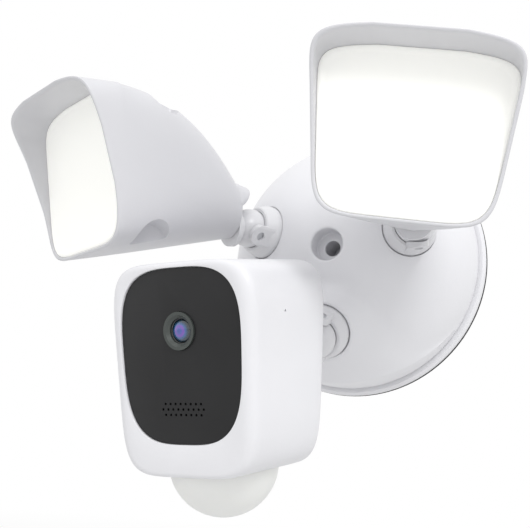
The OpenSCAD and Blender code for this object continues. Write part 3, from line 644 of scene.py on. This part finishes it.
def rear_shell():
    depth = (0, 0.06, 0.2, 0.45, 0.8, 1.3, 1.9, 2.6, 3.4, 4.2, 5.2, 6.4)
    rings = [cam_ring(-CAM_FRONT + d, WALL_T) for d in (WALL_T, 3, 4.5)]
    rings += [cam_ring(CAM_SPLIT - GAP, WALL_T), cam_ring(CAM_SPLIT - GAP, 0.25),
              cam_ring(CAM_SPLIT - 0.5, 0)]
    rings += [cam_ring(-CAM_FRONT + d, 0) for d in reversed(depth)]
    body = skin("camera_rear_case", HEAD, rings, sharp=45)
    neck = joint_frame("camera_tilt", "camera_spin")
    boss = revolve("boss", neck, [(0, CAM_NECK + GAP), (NECK_R, CAM_NECK + GAP),
                                  (NECK_R, CAM_NECK + 8.1), (0, CAM_NECK + 8.1)], 96)
    boolean(body, [boss], "UNION")
    bore = revolve("bore", neck, [
        (0, CAM_NECK - 12), (NECK_R + 0.7, CAM_NECK - 12), (NECK_R + 0.7, CAM_NECK + GAP),
        (SPIGOT_R, CAM_NECK + GAP), (SPIGOT_R, CAM_NECK + SNAP_START),
        (SNAP_R + GAP, CAM_NECK + SNAP_START), (SNAP_R + GAP, CAM_NECK + 2 * SPIGOT_L),
        (0, CAM_NECK + 2 * SPIGOT_L)], 96)
    slant = math.atan(CAM_LEAN * CAM_D / CAM_H)
    into = HEAD.y * math.sin(slant) + HEAD.z * math.cos(slant)
    face = HEAD.at((BUTTON[0], BUTTON[1], lean(-CAM_FRONT, BUTTON[1])))
    spot = Frame(face, HEAD.x, into.cross(HEAD.x), into)
    hole = revolve("hole", spot, [(0, -2), (3.2, -2), (3.2, 6), (0, 6)], 48)
    boolean(body, [bore, dome_cut(), hole], sharp=40)
    finish_piece(body, "camera_head", WHITE, "camera_rear_shell")


def panel():
    back, front = CAM_FRONT - PANEL_SINK - PANEL_T, CAM_FRONT - PANEL_SINK
    rings = [panel_ring(0.1, back), panel_ring(0, back + 0.1), panel_ring(0, front - 0.35),
             panel_ring(0.1, front - 0.12), panel_ring(0.35, front)]
    body = skin("camera_face", HEAD, rings, sharp=50)
    cutters = [revolve("lens_hole", HEAD.moved((0, LENS_UP, 0)), [
        (0, back - 1), (LENS_R + 0.1, back - 1), (LENS_R + 0.1, front - 0.2),
        (LENS_R + 0.35, front + 1), (0, front + 1)], 96)]
    for row in (-1, 0, 1):
        for k in range(9 if row == 0 else 8):
            x = (k - (4 if row == 0 else 3.5)) * HOLE_STEP[0]
            y = row * HOLE_STEP[1] - SPEAKER_DOWN
            cutters.append(revolve("hole", HEAD.moved((x, y, 0)), [
                (0, back - 1), (0.55, back - 1), (0.55, front + 1), (0, front + 1)], 20))
    boolean(body, cutters, sharp=40)
    finish_piece(body, "camera_head", BLACK, "camera_front_panel")


def dome():
    fr = Frame(HEAD.at((0, -CAM_H / 2 + DOME_SET, DOME_FORWARD)), HEAD.x, HEAD.z, -HEAD.y)
    top = DOME_SET - WALL_T
    rim = math.degrees(math.asin(top / DOME_R))
    inner = DOME_R - DOME_WALL
    profile = [(DOME_R * math.cos(math.radians(a)), DOME_R * math.sin(math.radians(a)))
               for a in [mix(90, rim, k / 48) for k in range(49)]]
    profile[0] = (0, DOME_R)
    profile += [(inner * math.cos(math.radians(a)), inner * math.sin(math.radians(a)))
                for a in [mix(rim + 0.3, 90, k / 32) for k in range(33)]]
    profile[-1] = (0, inner)
    body = revolve("motion_lens", fr, profile, 128, sharp=50)
    finish_piece(body, "camera_head", DOME, "motion_dome")


front_shell()
rear_shell()
panel()
dome()

LENS_CENTRE = tuple(HEAD.at((0, LENS_UP, CAM_FRONT + 0.6)))
GLASS = lens_material()
glass_profile = [(0, -3.4), (5.1, -3.4), (5.1, -1.98)]
glass_profile += [(8 * math.sin(math.radians(a)), -8.4 + 8 * math.cos(math.radians(a)))
                  for a in range(38, 0, -2)] + [(0, -0.4)]
glass = revolve("lens_front_glass", HEAD.moved((0, LENS_UP, CAM_FRONT)), glass_profile, 96, sharp=50)
finish_piece(glass, "camera_head", GLASS, "camera_lens_glass")

# ---- materials of the nodes that stay ----

for part in RECORD["subparts"]:
    ob = frame["nodes"].get(part["node"])
    if ob is None:
        continue
    ob.data.materials.clear()
    ob.data.materials.append(SLOT_MATERIAL[part["material_slot"]])

# ---- floor and light ----

FLOOR_HALF, FLOOR_Z = 3, -0.32
floor_mesh = bpy.data.meshes.new("floor")
corners = [(x * FLOOR_HALF, y * FLOOR_HALF, FLOOR_Z) for x, y in ((-1, -1), (1, -1), (1, 1), (-1, 1))]
floor_mesh.from_pydata(corners, [], [(0, 1, 2, 3)])
floor = bpy.data.objects.new("floor", floor_mesh)
bpy.context.scene.collection.objects.link(floor)
floor_mesh.materials.append(surface("pale_floor", (0.7, 0.7, 0.7), 0.7, mottle=0.02, grain=200))

world = bpy.data.worlds.new("studio")
bpy.context.scene.world = world
world.use_nodes = True
sky = world.node_tree
height = sky.nodes.new("ShaderNodeTexCoord")
split = sky.nodes.new("ShaderNodeSeparateXYZ")
sky.links.new(height.outputs["Generated"], split.inputs["Vector"])
tone = sky.nodes.new("ShaderNodeValToRGB")
tone.color_ramp.elements[0].position = 0.3
tone.color_ramp.elements[0].color = (0.3, 0.3, 0.31, 1)
tone.color_ramp.elements[1].position = 0.5
tone.color_ramp.elements[1].color = (1, 1, 1, 1)
lift = sky.nodes.new("ShaderNodeMapRange")
lift.inputs["From Min"].default_value = -1
sky.links.new(split.outputs["Z"], lift.inputs["Value"])
sky.links.new(lift.outputs["Result"], tone.inputs["Fac"])
sky.links.new(tone.outputs["Color"], sky.nodes["Background"].inputs["Color"])
sky.nodes["Background"].inputs["Strength"].default_value = 1.0
bpy.context.scene.view_settings.view_transform = "Standard"


def area_light(name, location, target, size, power):
    data = bpy.data.lights.new(name, "AREA")
    data.shape, data.size, data.energy = "DISK", size, power
    ob = bpy.data.objects.new(name, data)
    ob.location = location
    ob.rotation_euler = (Vector(target) - Vector(location)).to_track_quat("-Z", "Y").to_euler()
    bpy.context.scene.collection.objects.link(ob)


area_light("key", (0.75, -1.0, 0.75), (0, -0.08, 0), 0.5, 7)
area_light("top", (-0.4, -0.7, 1.4), (0, -0.08, 0), 0.8, 1.5)
